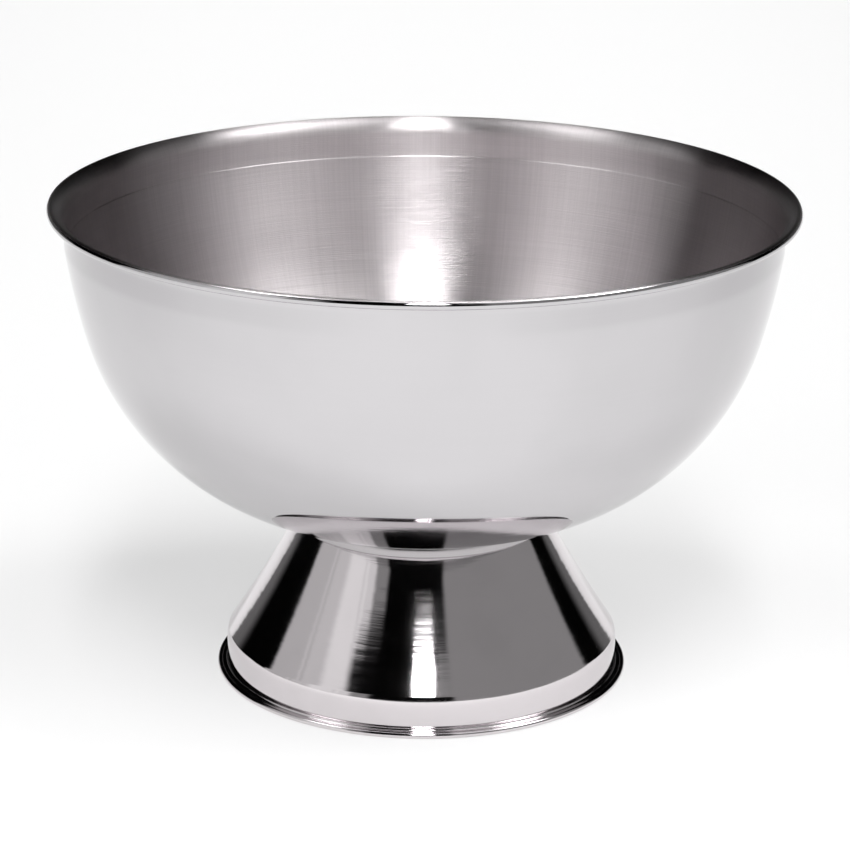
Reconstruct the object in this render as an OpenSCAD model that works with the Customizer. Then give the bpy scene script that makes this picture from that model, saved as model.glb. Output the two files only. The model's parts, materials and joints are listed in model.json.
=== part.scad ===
// Punch bowl: a spun sheet-metal bowl on a flared pedestal foot.
// Millimetres, +Z up, origin at the centre of the foot's seat on the table.
// The foot is drawn up against the bowl's neck collar by one central stud and nut.

/* [Bowl] */
// Outside diameter over the rolled rim
rim_diameter = 380; // [340:5:420]
// Height from the table to the top of the rim
overall_height = 249.7; // [245:0.1:262]
// Sheet thickness of the body
body_sheet = 1.0; // [0.8:0.1:1.4]
// Sheet thickness of the straight lip above the step
lip_sheet = 0.75; // [0.6:0.05:0.8]
// How far the rim stands out past the wall
rim_overhang = 8.25; // [7:0.25:10]
// Diameter of the rolled rim's own section
rim_roll = 4.2; // [3.6:0.2:5]
// Height of the flare below the middle of the rolled rim
flare_height = 6.6; // [5:0.2:8]

/* [Foot] */
// Outside diameter over the rolled bottom edge
foot_diameter = 214; // [206:1:230]
// Height of the foot's flat top
foot_height = 81; // [76:1:86]
// Sheet thickness of the foot
foot_sheet = 0.9; // [0.8:0.1:1.1]
// Radius of the hollow curve of the cone
cone_radius = 600; // [450:10:900]
// Slope of the cone at its shoulder, from level
cone_slope = 56.2; // [54:0.2:58]
// Height of the shoulder
shoulder_height = 20.2; // [18:0.2:23]
// Radius of the rolled bottom edge's own section
edge_roll = 1.55; // [1.4:0.05:1.8]

/* [Joint] */
// Height from the foot's top to the flat middle of the bowl
seat_rise = 7; // [6:0.5:9]
// Outside radius of the neck collar
collar_radius = 65.8; // [65:0.1:66.5]
// Wall thickness of the neck collar
collar_wall = 1.2; // [1:0.1:1.6]
// Radius of the plate welded under the bowl
disc_radius = 45; // [30:1:50]
// Thickness of the plate
disc_thickness = 2; // [1.5:0.1:2.5]
// Thread diameter of the stud
stud_diameter = 8; // [6:1:8]
// Outside radius of the flat washer
washer_radius = 20; // [14:1:24]
// Thickness of the flat washer
washer_thickness = 1.5; // [1.2:0.1:2]

/* [Hidden] */
$fn = 96;

// The body's outline: tangent arcs, each a share of the wall radius, with the slopes they run between.
arc_share = [0.6316, 0.751, 2.0743, 0.13755];
slope = [0, 31.5, 74.5, 81.2, 90];
arcs = 4;
wall_radius = rim_diameter / 2 - rim_overhang;
arc = [for (i = [0:arcs - 1]) arc_share[i] * wall_radius];
function run(n) = n == 0 ? 0 : run(n - 1) + arc[n - 1] * (sin(slope[n]) - sin(slope[n - 1]));
function rise(n) = n == 0 ? 0 : rise(n - 1) + arc[n - 1] * (cos(slope[n - 1]) - cos(slope[n]));
seat_radius = wall_radius - run(arcs);
seat_z = foot_height + seat_rise;
lip_start_z = seat_z + rise(arcs);

// The rolled rim and the flare that leads into it from the lip's inner face.
roll_radius = rim_roll / 2;
roll_r = rim_diameter / 2 - roll_radius;
roll_z = overall_height - roll_radius;
lip_inner = wall_radius - lip_sheet;
flare_z = roll_z - flare_height;
roll_in = roll_r - lip_inner;
flare_radius = (roll_in * roll_in + flare_height * flare_height - roll_radius * roll_radius)
    / (2 * (roll_in - roll_radius));
flare_r = lip_inner + flare_radius;
flare_end = atan2(roll_z - flare_z, roll_r - flare_r);
roll_end = -175;

// The foot's outline, from the shoulder up the cone and down the band.
edge_r = foot_diameter / 2 - edge_roll;
ledge_z = 2 * edge_roll - 0.65;
band_fillet = 1.2;
band_r = foot_diameter / 2 - 5.1;
crown_radius = 14;
crown_start = 20;
shoulder_radius = 1.2;
cone_end = 90 - cone_slope;
crown_r = band_r - crown_radius;
shoulder_r = crown_r + (crown_radius - shoulder_radius) * cos(crown_start);
shoulder_z = shoulder_height - shoulder_radius * sin(cone_end);
crown_z = shoulder_z - (crown_radius - shoulder_radius) * sin(crown_start);
cone_r = shoulder_r + (shoulder_radius + cone_radius) * cos(cone_end);
cone_z = shoulder_z + (shoulder_radius + cone_radius) * sin(cone_end);
top_bend = 1;
top_bend_z = foot_height - top_bend;
cone_start = asin((cone_z - top_bend_z) / (cone_radius + top_bend));
top_bend_r = cone_r - (cone_radius + top_bend) * cos(cone_start);
hem_inner = band_r + band_fillet;
stud_clearance = 0.5;

// The joint's stack, from the bowl down.
disc_z = seat_z - disc_thickness;
flange_thickness = 1;
flange_radius = 5.5;
plate_under = foot_height - foot_sheet;
lock_z = plate_under - washer_thickness;
lock_thickness = 2;
nut_z = lock_z - lock_thickness;
nut_height = 0.8125 * stud_diameter;
nut_flats = 1.625 * stud_diameter;
stud_end = nut_z - nut_height - 4;
thread_clearance = 0.05;
collar_lip = 7;

steel = [0.80, 0.80, 0.81];
bright_steel = [0.86, 0.86, 0.87];
zinc = [0.72, 0.73, 0.74];

// A bent strip of sheet between two radii about (r, z), from angle a to angle b.
// It runs a hair past both ends, so that it fuses with the strips beside it.
module bend(r, z, outer, inner, a, b) {
  lap = atan(0.03 / outer);
  steps = ceil((b - a) / 30);
  turn = (b - a + 2 * lap) / steps;
  wedge = [for (i = [0:steps]) 2 * outer * [cos(a - lap + i * turn), sin(a - lap + i * turn)]];
  translate([r, z]) {
    intersection() {
      difference() {
        circle(outer);
        circle(inner);
      }
      polygon(concat([[0, 0]], wedge));
    }
  }
}

// A straight strip between two corners.
module strip(r0, z0, r1, z1) {
  translate([r0, z0]) {
    square([r1 - r0, z1 - z0]);
  }
}

module bowl() {
  color(bright_steel) {
    rotate_extrude($fn = 200) {
      union() {
        strip(0, seat_z, seat_radius, seat_z + body_sheet);
        for (i = [0:arcs - 1]) {
          sheet = i < arcs - 1 ? body_sheet : lip_sheet;
          centre_r = seat_radius + run(i) - arc[i] * sin(slope[i]);
          centre_z = seat_z + rise(i) + arc[i] * cos(slope[i]);
          bend(centre_r, centre_z, arc[i], arc[i] - sheet, slope[i] - 90, slope[i + 1] - 90, $fn = 96);
        }
        strip(lip_inner, lip_start_z, wall_radius, flare_z);
        bend(flare_r, flare_z, flare_radius, flare_radius - lip_sheet, flare_end, 180);
        bend(roll_r, roll_z, roll_radius, roll_radius - lip_sheet, roll_end, flare_end);
      }
    }
  }
}

module neck_collar() {
  color(bright_steel) {
    rotate_extrude($fn = 160) {
      difference() {
        union() {
          strip(collar_radius - collar_wall, foot_height, collar_radius, seat_z + 4);
          strip(collar_radius - collar_lip, foot_height, collar_radius, foot_height + collar_wall);
        }
        translate([seat_radius, seat_z + arc[0]]) {
          circle(arc[0], $fn = 96);
        }
      }
    }
  }
}

module foot() {
  color(steel) {
    rotate_extrude($fn = 160) {
      union() {
        strip(stud_diameter / 2 + stud_clearance, plate_under, top_bend_r, foot_height);
        bend(top_bend_r, top_bend_z, top_bend, top_bend - foot_sheet, cone_start, 90);
        bend(cone_r, cone_z, cone_radius + foot_sheet, cone_radius, 180 + cone_start, 180 + cone_end);
        bend(shoulder_r, shoulder_z, shoulder_radius, shoulder_radius - foot_sheet, crown_start, cone_end);
        bend(crown_r, crown_z, crown_radius, crown_radius - foot_sheet, 0, crown_start);
        strip(band_r - foot_sheet, ledge_z + band_fillet, band_r, crown_z);
        bend(hem_inner, ledge_z + band_fillet, band_fillet + foot_sheet, band_fillet, 180, 270);
        strip(hem_inner, ledge_z - foot_sheet, edge_r - edge_roll / 2, ledge_z);
        bend(edge_r, edge_roll, edge_roll, edge_roll - foot_sheet, -90, 140);
        strip(hem_inner, 0, edge_r, foot_sheet);
      }
    }
  }
}

module mounting_disc() {
  color(zinc) {
    translate([0, 0, disc_z]) {
      cylinder(r = disc_radius, h = disc_thickness);
    }
  }
}

module stud() {
  chamfer = 1;
  color(zinc) {
    union() {
      translate([0, 0, disc_z - flange_thickness]) {
        cylinder(r = flange_radius, h = flange_thickness);
      }
      translate([0, 0, stud_end + chamfer]) {
        cylinder(r = stud_diameter / 2, h = disc_z - flange_thickness - stud_end - chamfer);
      }
      translate([0, 0, stud_end]) {
        cylinder(r1 = stud_diameter / 2 - chamfer, r2 = stud_diameter / 2, h = chamfer);
      }
    }
  }
}

module clamp_washer() {
  color(zinc) {
    translate([0, 0, lock_z]) {
      difference() {
        cylinder(r = washer_radius, h = washer_thickness);
        translate([0, 0, -1]) {
          cylinder(r = stud_diameter / 2 + stud_clearance, h = washer_thickness + 2);
        }
      }
    }
  }
}

// The spring washer is split by a slanting saw cut.
module lock_washer() {
  outer = 0.9 * stud_diameter;
  cut_width = 1.2;
  color(zinc) {
    translate([0, 0, nut_z]) {
      difference() {
        cylinder(r = outer, h = lock_thickness);
        translate([0, 0, -1]) {
          cylinder(r = stud_diameter / 2 + 0.2, h = lock_thickness + 2);
        }
        translate([outer / 2, 0, lock_thickness / 2]) {
          rotate([35, 0, 0]) {
            cube([outer + 1, cut_width, 4 * lock_thickness], center = true);
          }
        }
      }
    }
  }
}

// The nut's hexagon has its corners turned off top and bottom.
module nut() {
  corner = nut_flats / sqrt(3);
  bevel = (corner - nut_flats / 2) * tan(30);
  color(zinc) {
    translate([0, 0, nut_z - nut_height]) {
      difference() {
        intersection() {
          cylinder(r = corner, h = nut_height, $fn = 6);
          union() {
            cylinder(r1 = nut_flats / 2, r2 = corner, h = bevel);
            translate([0, 0, bevel]) {
              cylinder(r = corner, h = nut_height - 2 * bevel);
            }
            translate([0, 0, nut_height - bevel]) {
              cylinder(r1 = corner, r2 = nut_flats / 2, h = bevel);
            }
          }
        }
        translate([0, 0, -1]) {
          cylinder(r = stud_diameter / 2 + thread_clearance, h = nut_height + 2);
        }
      }
    }
  }
}

bowl();
neck_collar();
foot();
mounting_disc();
stud();
clamp_washer();
lock_washer();
nut();
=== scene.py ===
import json
import math
import bmesh
import bpy
import numpy as np
from mathutils import Matrix, Vector

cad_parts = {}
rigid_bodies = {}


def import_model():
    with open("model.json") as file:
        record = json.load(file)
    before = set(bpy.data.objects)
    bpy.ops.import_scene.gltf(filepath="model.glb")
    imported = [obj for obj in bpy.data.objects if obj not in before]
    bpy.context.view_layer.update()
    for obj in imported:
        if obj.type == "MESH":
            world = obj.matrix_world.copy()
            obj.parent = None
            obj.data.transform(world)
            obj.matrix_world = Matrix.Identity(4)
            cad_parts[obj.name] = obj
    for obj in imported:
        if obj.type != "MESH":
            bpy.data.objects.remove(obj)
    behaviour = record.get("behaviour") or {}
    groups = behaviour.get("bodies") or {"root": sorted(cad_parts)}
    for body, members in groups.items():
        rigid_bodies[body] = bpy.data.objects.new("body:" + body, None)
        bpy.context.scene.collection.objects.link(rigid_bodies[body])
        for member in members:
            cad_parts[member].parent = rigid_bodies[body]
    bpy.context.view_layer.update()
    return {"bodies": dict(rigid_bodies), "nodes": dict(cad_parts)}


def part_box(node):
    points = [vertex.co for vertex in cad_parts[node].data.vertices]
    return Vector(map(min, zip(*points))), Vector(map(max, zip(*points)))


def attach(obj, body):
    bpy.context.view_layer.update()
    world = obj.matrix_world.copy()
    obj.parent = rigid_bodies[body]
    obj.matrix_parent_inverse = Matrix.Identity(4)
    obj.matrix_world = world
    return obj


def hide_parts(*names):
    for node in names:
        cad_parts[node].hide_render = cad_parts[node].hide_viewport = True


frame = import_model()
scene = bpy.context.scene
scene.view_settings.view_transform = "Standard"
print("frame loaded:", ", ".join(sorted(frame["nodes"])))

body = sorted(frame["bodies"])[0]
bowlLow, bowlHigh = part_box("bowl")
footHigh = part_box("foot")[1]
collarLow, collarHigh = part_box("neck_collar")
studLow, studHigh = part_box("stud")
rimRadius = min(bowlHigh.x, bowlHigh.y)
footRadius = min(footHigh.x, footHigh.y)
sharpCorner = math.radians(28)  # corners sharper than this aren't smoothed


class Value:
    # one output socket; arithmetic on it adds Math nodes
    def __init__(self, tree, socket):
        self.tree, self.socket = tree, socket

    def maths(self, operation, *others):
        ins = {0: self}
        ins.update({i + 1: other for i, other in enumerate(others)})
        return self.tree.node("ShaderNodeMath", ins, operation=operation)

    def __add__(self, other):
        return self.maths("ADD", other)

    def __sub__(self, other):
        return self.maths("SUBTRACT", other)

    def __mul__(self, other):
        return self.maths("MULTIPLY", other)

    def __truediv__(self, other):
        return self.maths("DIVIDE", other)

    def __neg__(self):
        return self.maths("MULTIPLY", -1.0)

    def __rsub__(self, other):
        return self.maths("MULTIPLY", -1.0) + other

    __radd__ = __add__
    __rmul__ = __mul__

    def ramp(self, low, high, toLow=0.0, toHigh=1.0):
        # a smooth step from toLow to toHigh as the value goes from low to high
        return self.tree.node("ShaderNodeMapRange", {0: self, 1: low, 2: high, 3: toLow, 4: toHigh},
                              interpolation_type="SMOOTHSTEP")


class Tree:
    # a node tree, with one method that adds any node
    def __init__(self, owner):
        owner.use_nodes = True
        self.nodes, self.links = owner.node_tree.nodes, owner.node_tree.links
        self.nodes.clear()

    def node(self, kind, inputs=None, output=0, **settings):
        made = self.nodes.new(kind)
        for name, value in settings.items():
            setattr(made, name, value)
        for name, value in (inputs or {}).items():
            if isinstance(value, Value):
                self.links.new(value.socket, made.inputs[name])
            else:
                made.inputs[name].default_value = value
        return Value(self, made.outputs[output]) if made.outputs else None

    def split(self, vector):
        made = self.node("ShaderNodeSeparateXYZ", {0: vector})
        return [Value(self, made.socket.node.outputs[i]) for i in range(3)]

    def join(self, x, y, z):
        return self.node("ShaderNodeCombineXYZ", {0: x, 1: y, 2: z})

    def noise(self, vector, rough=0.5, scale=1.0):
        return self.node("ShaderNodeTexNoise", {"Vector": vector, "Scale": scale, "Detail": 3.0,
                                                "Roughness": rough})


def roundPlace(tree):
    # where a point is about the axis: unit direction, radius and height, in metres
    x, y, z = tree.split(tree.node("ShaderNodeTexCoord", output="Object"))
    radius = (x * x + y * y).maths("SQRT").maths("MAXIMUM", 0.0005)
    return x / radius, y / radius, radius, z


def streaks(tree, place, around, along):
    # noise about the axis: around is lines per radian, along is lines per metre of height and radius
    cx, cy, radius, z = place
    return tree.noise(tree.join(cx * around, cy * around, (z - radius * 0.7) * along), rough=0.6)


def metal(name, finish):
    # polished or brushed steel: lines turned round the axis, lines drawn up and down, faint clouding
    material = bpy.data.materials.new(name)
    tree = Tree(material)
    place = roundPlace(tree)
    turnedLines = streaks(tree, place, finish["turnedAround"], finish["turnedAlong"])
    drawnLines = streaks(tree, place, finish["drawnAround"], finish["drawnAlong"])
    cloud = tree.noise(tree.node("ShaderNodeTexCoord", output="Object"), scale=finish["cloudScale"])
    height = turnedLines * finish["turnedShare"] + drawnLines * (1 - finish["turnedShare"])
    grooves = tree.node("ShaderNodeBump", {"Strength": 1.0, "Distance": finish["depth"], "Height": height})
    waves = tree.node("ShaderNodeBump", {"Strength": 1.0, "Distance": finish["waveDepth"], "Height": cloud,
                                         "Normal": grooves})
    rough = cloud.ramp(0.35, 0.7, *finish["rough"]) + (turnedLines - 0.5) * finish["roughLines"]
    tone = 1 - (1 - cloud.ramp(0.3, 0.6)) * finish["toneCloud"] - (1 - turnedLines) * finish["toneLines"]
    tone = tone - (1 - drawnLines) * finish["toneDrawn"]
    dark, light = finish["dark"] + (1.0,), finish["light"] + (1.0,)
    grey = tree.node("ShaderNodeMix", {"Factor": tone, "A": dark, "B": light}, output=2, data_type="RGBA")
    shader = tree.node("ShaderNodeBsdfPrincipled", {"Base Color": grey, "Roughness": rough, "Metallic": 1.0,
                                                    "Anisotropic": finish["grain"],
                                                    "Anisotropic Rotation": 0.25, "Normal": waves})
    tree.node("ShaderNodeOutputMaterial", {"Surface": shader})
    return material


def sinOf(degrees):
    return math.sin(math.radians(degrees))


def cosOf(degrees):
    return math.cos(math.radians(degrees))


def arc(centre, radius, start, end, step):
    # points at (radius cos t, radius sin t) from centre, with t in degrees from start to end
    count = max(4, math.ceil(abs(end - start) / step))
    t = np.radians(np.linspace(start, end, count + 1))
    return np.stack([centre[0] + radius * np.cos(t), centre[1] + radius * np.sin(t)], 1)


def line(start, end, count):
    return np.linspace(start, end, count)


def chain(*parts):
    # one line of points from several, without the doubled ends
    points = np.concatenate([np.asarray(part, float) for part in parts])
    apart = np.linalg.norm(np.diff(points, axis=0), axis=1) > 2e-6
    return points[np.concatenate([[True], apart])]


def turned(name, radii, heights, around, closed=False, finishes=None):
    # a surface over (row, angle): x = radii cos angle, y = radii sin angle, z = heights; closed joins the
    # last row to the first, and otherwise the end rows on the axis close to poles; finishes is a material
    # number for each row
    radii, heights = np.asarray(radii, float), np.asarray(heights, float)
    rows = radii.shape[0]
    angle = np.linspace(0, 2 * np.pi, around, endpoint=False)[None, :]
    radii = np.broadcast_to(radii.reshape(rows, -1), (rows, around))
    heights = np.broadcast_to(heights.reshape(rows, -1), (rows, around))
    points = np.stack([radii * np.cos(angle), radii * np.sin(angle), heights], 2)
    index = np.arange(rows * around).reshape(rows, around)
    nextRow = np.roll(index, -1, 0) if closed else index[1:]
    thisRow = index if closed else index[:-1]
    quads = np.stack([thisRow, np.roll(thisRow, -1, 1), np.roll(nextRow, -1, 1), nextRow], 2)
    kinds = np.zeros(len(quads), int) if finishes is None else np.asarray(finishes)[:len(quads)]
    kinds = np.repeat(kinds, around)
    quads = quads.reshape(-1, 4)
    mesh = bpy.data.meshes.new(name)
    mesh.from_pydata(points.reshape(-1, 3), [], quads)
    mesh.polygons.foreach_set("material_index", kinds.astype(np.int32))
    mesh.polygons.foreach_set("use_smooth", np.ones(len(quads), bool))
    made = bpy.data.objects.new(name, mesh)
    scene.collection.objects.link(made)
    cleanMesh(mesh)
    return made


def cleanMesh(mesh):
    # merges each pole's ring to a point, turns all faces outwards and marks the sharp corners
    work = bmesh.new()
    work.from_mesh(mesh)
    bmesh.ops.remove_doubles(work, verts=work.verts, dist=1e-7)
    bmesh.ops.dissolve_degenerate(work, edges=work.edges, dist=1e-8)
    bmesh.ops.recalc_face_normals(work, faces=work.faces)
    work.to_mesh(mesh)
    work.free()
    mesh.set_sharp_from_angle(angle=sharpCorner)


def setIn(piece, node, slot, *materials):
    # puts a finished piece in the place of its CAD node
    for material in materials:
        piece.data.materials.append(material)
    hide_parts(node)
    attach(piece, body)


# each finish: lines per radian and per metre, depths in metres, and the steel's dark and light tones
mirrorBowl = {
    "turnedAround": 1.5,
    "turnedAlong": 900.0,
    "drawnAround": 260.0,
    "drawnAlong": 6.0,
    "turnedShare": 0.6,  # how much of the bump is turned lines
    "cloudScale": 9.0,
    "depth": 0.0000012,
    "waveDepth": 0.00010,
    "rough": (0.035, 0.06),
    "roughLines": 0.02,
    "toneCloud": 0.3,
    "toneLines": 0.1,
    "toneDrawn": 0.0,
    "grain": 0.3,  # how much the fine grain stretches a highlight
    "dark": (0.472, 0.462, 0.472),
    "light": (0.572, 0.559, 0.572),
}
satinBowl = {
    "turnedAround": 2.0,
    "turnedAlong": 2600.0,
    "drawnAround": 170.0,
    "drawnAlong": 14.0,
    "turnedShare": 0.98,
    "cloudScale": 12.0,
    "depth": 0.00012,
    "waveDepth": 0.000015,
    "rough": (0.33, 0.37),
    "roughLines": 0.08,
    "toneCloud": 0.25,
    "toneLines": 0.5,
    "toneDrawn": 0.5,
    "grain": 1.0,
    "dark": (0.505, 0.477, 0.485),
    "light": (0.765, 0.720, 0.733),
}
mirrorFoot = {
    "turnedAround": 1.2,
    "turnedAlong": 160.0,
    "drawnAround": 300.0,
    "drawnAlong": 8.0,
    "turnedShare": 0.97,
    "cloudScale": 30.0,
    "depth": 0.00006,
    "waveDepth": 0.00012,
    "rough": (0.06, 0.10),
    "roughLines": 0.03,
    "toneCloud": 0.2,
    "toneLines": 0.1,
    "toneDrawn": 0.0,
    "grain": 0.6,
    "dark": (0.570, 0.540, 0.552),
    "light": (0.710, 0.672, 0.688),
}
# the neck ring is the foot's polished steel with darker tones: painted shade for its place under the bowl
shadedNeckFinish = dict(mirrorFoot, rough=(0.16, 0.20), dark=(0.35, 0.335, 0.342), light=(0.43, 0.412, 0.42))
plated = {
    "turnedAround": 3.0,
    "turnedAlong": 1500.0,
    "drawnAround": 60.0,
    "drawnAlong": 200.0,
    "turnedShare": 0.7,
    "cloudScale": 300.0,
    "depth": 0.00002,
    "waveDepth": 0.00004,
    "rough": (0.28, 0.45),
    "roughLines": 0.1,
    "toneCloud": 0.5,
    "toneLines": 0.2,
    "toneDrawn": 0.0,
    "grain": 0.4,
    "dark": (0.38, 0.38, 0.37),
    "light": (0.62, 0.62, 0.60),
}

bowlOutside = metal("polished bowl", mirrorBowl)
bowlInside = metal("satin bowl", satinBowl)
footPolish = metal("polished foot", mirrorFoot)
neckShadedPolish = metal("neck ring", shadedNeckFinish)
zinc = metal("zinc plate", plated)
print("finishes made")


bowlShape = {
    "around": 272,
    "bodySheet": 0.0010,
    "lipSheet": 0.00075,
    "overhang": 0.00825,  # how far the rim stands out past the wall
    "roll": 0.0021,  # radius of the rolled rim's section
    "flare": 0.0066,
    "shares": (0.6316, 0.7510, 2.0743, 0.13755),  # the body's arcs as shares of the wall radius
    "slopes": (0.0, 31.5, 74.5, 81.2, 90.0),  # the slopes they run between
    "arcSpacing": 0.0022,  # between the points of a body arc
    "curlEnd": -175.0,
    "stepBlend": 0.0007,  # height over which the step inside is rounded
    "satinPast": 0.0015,  # how far the satin runs past the middle of the rolled rim
    "satinBelow": 0.0005,  # and how far below it
}


def bowlPiece(shape):
    # the sheet's outside is a level disc, four tangent arcs, a straight lip, a flare and a curl; the inside
    # is the same line moved in by the sheet's thickness; each line ends with its count of points, and each
    # arc with its step in degrees
    wall = rimRadius - shape["overhang"]
    sheet, lip, roll = shape["bodySheet"], shape["lipSheet"], shape["roll"]
    slopes = shape["slopes"]
    radii = [share * wall for share in shape["shares"]]
    run = np.array([R * (sinOf(b) - sinOf(a)) for R, a, b in zip(radii, slopes, slopes[1:])])
    rise = np.array([R * (cosOf(a) - cosOf(b)) for R, a, b in zip(radii, slopes, slopes[1:])])
    seat = wall - run.sum()
    bottom = bowlLow.z
    outside = [line((0, bottom), (seat, bottom), 12)]
    inside = [line((0, bottom + sheet), (seat, bottom + sheet), 12)]
    r, z = seat, bottom
    for number, R in enumerate(radii):
        a, b = slopes[number], slopes[number + 1]
        centre = (r - R * sinOf(a), z + R * cosOf(a))
        thick = lip if number == len(radii) - 1 else sheet
        step = math.degrees(shape["arcSpacing"] / R)
        outside.append(arc(centre, R, a - 90, b - 90, step))
        inside.append(arc(centre, R - thick, a - 90, b - 90, step))
        r, z = r + run[number], z + rise[number]
    # the step: the thinner lip starts outside the body's inner face, joined by a rounded ledge
    last, upper = inside[-2][-1], inside[-1]
    upper = upper[upper[:, 1] > last[1] + shape["stepBlend"]]
    s = np.linspace(0, 1, 9)[1:-1]
    ease = s * s * (3 - 2 * s)
    ledge = np.stack([last[0] + (upper[0, 0] - last[0]) * ease, last[1] + (upper[0, 1] - last[1]) * s], 1)
    inside[-1] = np.concatenate([ledge, upper])
    rollCentre = (rimRadius - roll, bowlHigh.z - roll)
    lipInner = wall - lip
    across, up = rollCentre[0] - lipInner, shape["flare"]
    flareRadius = (across ** 2 + up ** 2 - roll ** 2) / (2 * (across - roll))
    flareCentre = (lipInner + flareRadius, rollCentre[1] - up)
    flareEnd = math.degrees(math.atan2(up, rollCentre[0] - flareCentre[0]))
    outside.append(line((wall, z), (wall, flareCentre[1]), 6))
    outside.append(arc(flareCentre, flareRadius - lip, 180, flareEnd, 4))
    outside.append(arc(rollCentre, roll - lip, flareEnd, shape["curlEnd"], 10))
    inside.append(line((lipInner, z), (lipInner, flareCentre[1]), 6))
    inside.append(arc(flareCentre, flareRadius, 180, flareEnd, 4))
    inside.append(arc(rollCentre, roll, flareEnd, shape["curlEnd"], 6))
    outer, inner = chain(*outside), chain(*inside)[::-1]
    profile = np.concatenate([outer, inner])
    # satin inside and over the top of the rolled rim, polished down the rim's outer side and over the outside
    satin = (np.arange(len(profile)) >= len(outer)) & (profile[:, 0] < rollCentre[0] + shape["satinPast"])
    satin &= (profile[:, 1] > rollCentre[1] - shape["satinBelow"]) | (profile[:, 0] < rimRadius - 2 * roll)
    return turned("bowl_shell", profile[:, 0], profile[:, 1], shape["around"], finishes=satin.astype(int))


setIn(bowlPiece(bowlShape), "bowl", "bowl", bowlOutside, bowlInside)
print("bowl made")


footShape = {
    "around": 320,
    "sheet": 0.0009,
    "hole": 0.0045,
    "topBend": 0.0010,
    "coneRadius": 0.600,
    "coneSlope": 56.2,  # at the shoulder
    "shoulderHeight": 0.0202,
    "shoulderRadius": 0.0012,
    "crownRadius": 0.014,
    "crownStart": 20.0,
    "bandSetIn": 0.0051,  # from the edge to the upright band
    "fillet": 0.0012,
    "edgeRoll": 0.00155,
    "ledgeDrop": 0.00065,  # from the top of the rolled edge to the ledge
}


def footPiece(shape):
    # the outside is a level top, a tight bend, a hollow cone, a shoulder, a crowned band, a fillet, a ledge,
    # a rolled edge and a hem turned under; the inside is the same line moved in by the sheet's thickness
    roll, fillet = shape["edgeRoll"], shape["fillet"]
    crown, corner = shape["crownRadius"], shape["shoulderRadius"]
    edge = footRadius - roll
    ledge = 2 * roll - shape["ledgeDrop"]
    band = footRadius - shape["bandSetIn"]
    coneEnd = 90 - shape["coneSlope"]
    start = shape["crownStart"]
    shoulder = (band - crown + (crown - corner) * cosOf(start),
                shape["shoulderHeight"] - corner * sinOf(coneEnd))
    crownCentre = (band - crown, shoulder[1] - (crown - corner) * sinOf(start))
    R = shape["coneRadius"]
    cone = (shoulder[0] + (corner + R) * cosOf(coneEnd), shoulder[1] + (corner + R) * sinOf(coneEnd))
    bend, top = shape["topBend"], footHigh.z
    coneStart = math.degrees(math.asin((cone[1] - top + bend) / (R + bend)))
    bendCentre = (cone[0] - (R + bend) * cosOf(coneStart), top - bend)
    hem = band + fillet
    ledgeAngle = 180 - math.degrees(math.asin((ledge - roll) / roll))
    ledgeEnd = edge - math.sqrt(roll ** 2 - (ledge - roll) ** 2)

    def side(inset):
        return chain(
            line((shape["hole"], top - inset), (bendCentre[0], top - inset), 14),
            arc(bendCentre, bend - inset, 90, coneStart, 8),
            arc(cone, R + inset, 180 + coneStart, 180 + coneEnd, 0.12),
            arc(shoulder, corner - inset, coneEnd, start, 2),
            arc(crownCentre, crown - inset, start, 0, 2),
            line((band - inset, crownCentre[1]), (band - inset, ledge + fillet), 12),
            arc((hem, ledge + fillet), fillet + inset, 180, 270, 9),
            line((hem, ledge - inset), (ledgeEnd, ledge - inset), 4),
            arc((edge, roll), roll - inset, ledgeAngle, -90, 8),
            line((edge, inset), (hem, inset), 3),
        )

    profile = np.concatenate([side(0.0), side(shape["sheet"])[::-1]])
    return turned("foot_shell", profile[:, 0], profile[:, 1], shape["around"], closed=True)


setIn(footPiece(footShape), "foot", "foot", footPolish)
print("foot made")


collarShape = {
    "around": 256,
    "wall": 0.0012,
    "lip": 0.007,
    "edge": 0.00018,
    "upright": 0.0010,  # height of the wall before it leans
    "lean": 0.0017,
}


def collarPiece(shape):
    # a wall on a turned-in lip, with its lower outer edge rounded and its top cut to the bowl's underside;
    # the wall leans in towards the top by lean times the share of its height to the power 2.2
    outer, low = collarHigh.x, collarLow.z
    inner, lipInner = outer - shape["wall"], outer - shape["lip"]
    outerTop, innerTop = outer - shape["lean"], inner - shape["lean"]
    edge, lipTop = shape["edge"], low + shape["wall"]
    wall = rimRadius - bowlShape["overhang"]
    R = bowlShape["shares"][0] * wall
    slopes = [sinOf(a) for a in bowlShape["slopes"]]
    seat = wall * (1 - sum(s * (b - a) for s, a, b in zip(bowlShape["shares"], slopes, slopes[1:])))

    def under(r):
        return bowlLow.z + R - math.sqrt(R ** 2 - (r - seat) ** 2)

    start = low + shape["upright"]
    share = np.linspace(0, 1, 15)
    wallLine = np.stack([outer - shape["lean"] * share ** 2.2, start + (under(outerTop) - start) * share], 1)
    profile = chain(
        line((lipInner + edge, low), (outer - edge, low), 4),
        arc((outer - edge, low + edge), edge, -90, 0, 22),
        wallLine,
        line((outerTop, under(outerTop)), (innerTop, under(innerTop)), 3),
        line((innerTop, under(innerTop)), (innerTop, lipTop + edge), 6),
        line((innerTop - edge, lipTop), (lipInner, lipTop), 4),
        line((lipInner, lipTop - edge), (lipInner, low + edge), 2),
    )
    return turned("neck_ring", profile[:, 0], profile[:, 1], shape["around"], closed=True)


# the neck ring's darker steel is painted shade under the bowl
setIn(collarPiece(collarShape), "neck_collar", "foot", neckShadedPolish)
print("collar made")


studShape = {
    "around": 72,
    "perTurn": 14,  # rows to each turn of the thread
    "radius": 0.004,
    "pitch": 0.00125,
    "depth": 0.0007,
    "runOut": 0.002,  # over which the thread fades out under the flange
    "flange": 0.0055,
    "flangeThick": 0.001,
    "flangeEdge": 0.0002,
    "chamfer": 0.001,
}


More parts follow.
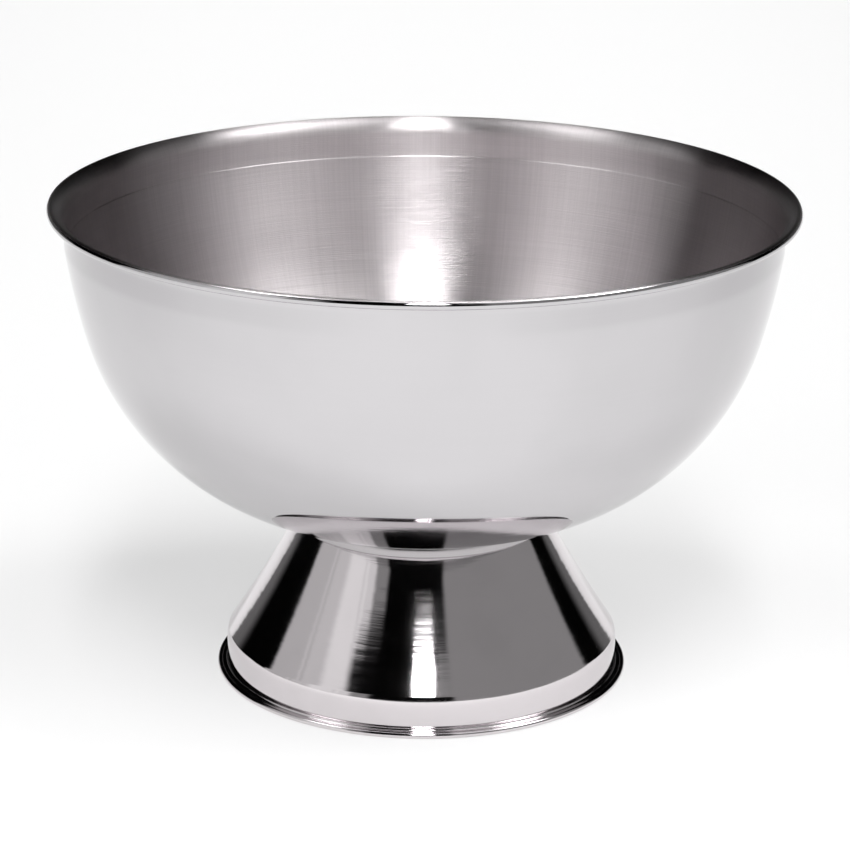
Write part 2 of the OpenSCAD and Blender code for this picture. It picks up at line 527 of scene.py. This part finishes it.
def studPiece(shape):
    # over (row, angle) the radius is a rounded V that climbs one pitch a turn, and fades out at the chamfered
    # end and under the flange
    around, edge = shape["around"], shape["flangeEdge"]
    low, high = studLow.z, studHigh.z
    shankTop = high - shape["flangeThick"]
    z = np.arange(low, shankTop, shape["pitch"] / shape["perTurn"])[:, None]
    angle = np.linspace(0, 2 * np.pi, around, endpoint=False)[None, :]
    phase = ((z - low) / shape["pitch"] - angle / (2 * np.pi)) % 1.0
    groove = np.clip(1.25 * np.abs(2 * phase - 1) - 0.1, 0, 1)
    limit = np.minimum(shape["radius"], shape["radius"] - shape["chamfer"] + (z - low))
    fade = np.clip((shankTop - z) / shape["runOut"], 0, 1)
    radius = np.minimum(limit, shape["radius"] - shape["depth"] * groove * fade)

    def ring(r, h):
        return np.full((1, around), r), np.full((1, around), h)

    rows = [
        ring(0, low),
        (radius, np.broadcast_to(z, radius.shape)),
        ring(shape["radius"], shankTop),
        ring(shape["flange"] - edge, shankTop),
        ring(shape["flange"], shankTop + edge),
        ring(shape["flange"], high - edge / 2),
        ring(shape["flange"] - edge / 2, high),
        ring(0, high),
    ]
    radii, heights = (np.concatenate(parts) for parts in zip(*rows))
    return turned("threaded_stud", radii, heights, around)


setIn(studPiece(studShape), "stud", "fastener", zinc)

for node in ("mounting_disc", "clamp_washer", "lock_washer", "nut"):
    carried = frame["nodes"][node]
    carried.data.materials.clear()
    carried.data.materials.append(zinc)
print("fasteners made")


studio = {
    "floorRadius": 6.0,
    "floorSides": 96,
    "floorGrey": 0.45,
    # painted light: the floor's own glow is a painted pool of light, brighter in front of the bowl
    "floorGlow": (0.37, 0.60),  # behind and in front
    "glowReach": (0.45, -0.5),  # how far back and how far forward the glow changes
    "glowSides": (0.1, 1.5),  # how far out it starts and stops fading
    "glowLeft": 0.5,  # the share that is left there
    "roomGrey": 0.001,
    "cameraGrey": 0.92,
    # soft panels: middle direction to the right of the camera, half width, elevation low and high, brightness
    # and softness
    "panels": (
        (-91.0, 10.0, -5.0, 55.0, 0.55, 1.5),
        (-104.5, 3.5, 37.5, 55.0, 0.50, 1.5),
        (-113.5, 5.5, 40.5, 55.0, 0.46, 1.5),
        (-74.0, 7.0, -5.0, 55.0, 0.66, 3.0),
        (-58.5, 8.5, -5.0, 41.0, 0.92, 3.0),
        (-60.5, 6.5, 41.0, 55.0, 0.72, 1.5),
        (-45.5, 4.5, -5.0, 36.5, 0.80, 2.0),
        (-35.5, 5.5, -5.0, 36.5, 0.28, 2.0),
        (-87.0, 18.0, 55.0, 88.0, 5.6, 1.5),
        (-58.0, 9.0, 55.0, 88.0, 1.2, 3.0),
        (65.5, 46.5, -5.0, 52.0, 0.28, 2.0),
        (15.5, 3.5, 41.0, 52.0, 0.28, 1.5),
        (46.0, 19.0, 54.0, 88.0, 1.5, 3.0),
        (86.0, 19.0, 50.0, 88.0, 9.0, 1.5),
        (1.5, 7.0, 41.8, 86.0, 19.0, 1.2),
        (180.0, 49.0, -10.0, 10.0, 0.14, 5.0),
    ),
    # area lights: place, aim, size and power
    "lights": {
        "key": ((-1.6, -1.6, 2.2), (0, -0.2, 0), 1.6, 17),
        "fill": ((1.8, -1.2, 2.2), (0, -0.2, 0), 1.6, 13),
        "back": ((0, 2.0, 2.4), (0, 0, 0), 1.8, 8),
    },
}


def makeWorld(settings):
    # a dark room with soft panels, each a product of smooth steps in direction and elevation
    world = bpy.data.worlds.new("studio")
    scene.world = world
    tree = Tree(world)
    x, y, z = tree.split(tree.node("ShaderNodeTexCoord", output="Generated"))
    azimuth = x.maths("ARCTAN2", -y) * (180 / math.pi)
    elevation = z.maths("ARCSINE") * (180 / math.pi)
    glow = settings["roomGrey"]
    for middle, half, low, high, bright, soft in settings["panels"]:
        apart = (azimuth - middle).maths("ABSOLUTE")
        apart = apart.maths("MINIMUM", 360 - apart)
        across = apart.ramp(half - soft, half + soft, 1.0, 0.0)
        below = elevation.ramp(high - soft, high + soft, 1.0, 0.0)
        up = elevation.ramp(low - soft, low + soft) * below
        glow = across * up * bright + glow
    seen = tree.node("ShaderNodeLightPath", output="Is Camera Ray")
    glow = glow * (1 - seen) + seen * settings["cameraGrey"]
    background = tree.node("ShaderNodeBackground", {"Color": tree.join(glow, glow, glow), "Strength": 1.0})
    tree.node("ShaderNodeOutputWorld", {"Surface": background})


def makeFloor(settings):
    # a pale disc with a faint glow of painted light, a painted pool of light that is stronger in front and
    # weaker to the sides
    R, sides = settings["floorRadius"], settings["floorSides"]
    t = np.linspace(0, 2 * np.pi, sides, endpoint=False)
    mesh = bpy.data.meshes.new("floor")
    mesh.from_pydata(np.stack([R * np.cos(t), R * np.sin(t), 0 * t], 1), [], [list(range(sides))])
    floor = bpy.data.objects.new("floor", mesh)
    scene.collection.objects.link(floor)
    material = bpy.data.materials.new("floor")
    tree = Tree(material)
    x, y = tree.split(tree.node("ShaderNodeTexCoord", output="Object"))[:2]
    # painted pool of light: the floor's glow is stronger in front and fades to the sides
    paintedPool = y.ramp(*settings["glowReach"], *settings["floorGlow"])
    glow = paintedPool * x.maths("ABSOLUTE").ramp(*settings["glowSides"], 1.0, settings["glowLeft"])
    grey = settings["floorGrey"]
    shader = tree.node("ShaderNodeBsdfPrincipled", {"Base Color": (grey, grey, grey, 1), "Roughness": 0.9,
                                                    "Specular IOR Level": 0.0,
                                                    "Emission Color": tree.join(glow, glow, glow),
                                                    "Emission Strength": 1.0})
    tree.node("ShaderNodeOutputMaterial", {"Surface": shader})
    mesh.materials.append(material)


def softLight(name, at, towards, size, power):
    # an area light for the floor, which isn't seen in the metal
    light = bpy.data.lights.new(name, "AREA")
    light.shape, light.size, light.energy = "SQUARE", size, power
    lamp = bpy.data.objects.new(name, light)
    scene.collection.objects.link(lamp)
    lamp.location = at
    lamp.rotation_euler = (Vector(towards) - Vector(at)).to_track_quat("-Z", "Y").to_euler()
    lamp.visible_glossy = False


makeWorld(studio)
makeFloor(studio)
for name, settings in studio["lights"].items():
    softLight(name, *settings)

# angles in degrees, focal length and sensor in millimetres, distance and height in metres
view = {
    "pitch": 18.088,
    "roll": 0.47,
    "yaw": 0.035,
    "focal": 141.23,
    "sensor": 36.0,
    "distance": 1.6344,
    "height": 0.6635,
    "farthest": 50.0,
}
camera = bpy.data.objects.new("camera", bpy.data.cameras.new("camera"))
scene.collection.objects.link(camera)
camera.data.sensor_width, camera.data.lens = view["sensor"], view["focal"]
camera.data.clip_end = view["farthest"]
camera.matrix_world = (Matrix.Translation((0, -view["distance"], view["height"]))
                       @ Matrix.Rotation(math.radians(-view["yaw"]), 4, "Z")
                       @ Matrix.Rotation(math.radians(90 - view["pitch"]), 4, "X")
                       @ Matrix.Rotation(math.radians(view["roll"]), 4, "Z"))
scene.camera = camera
print("studio made")
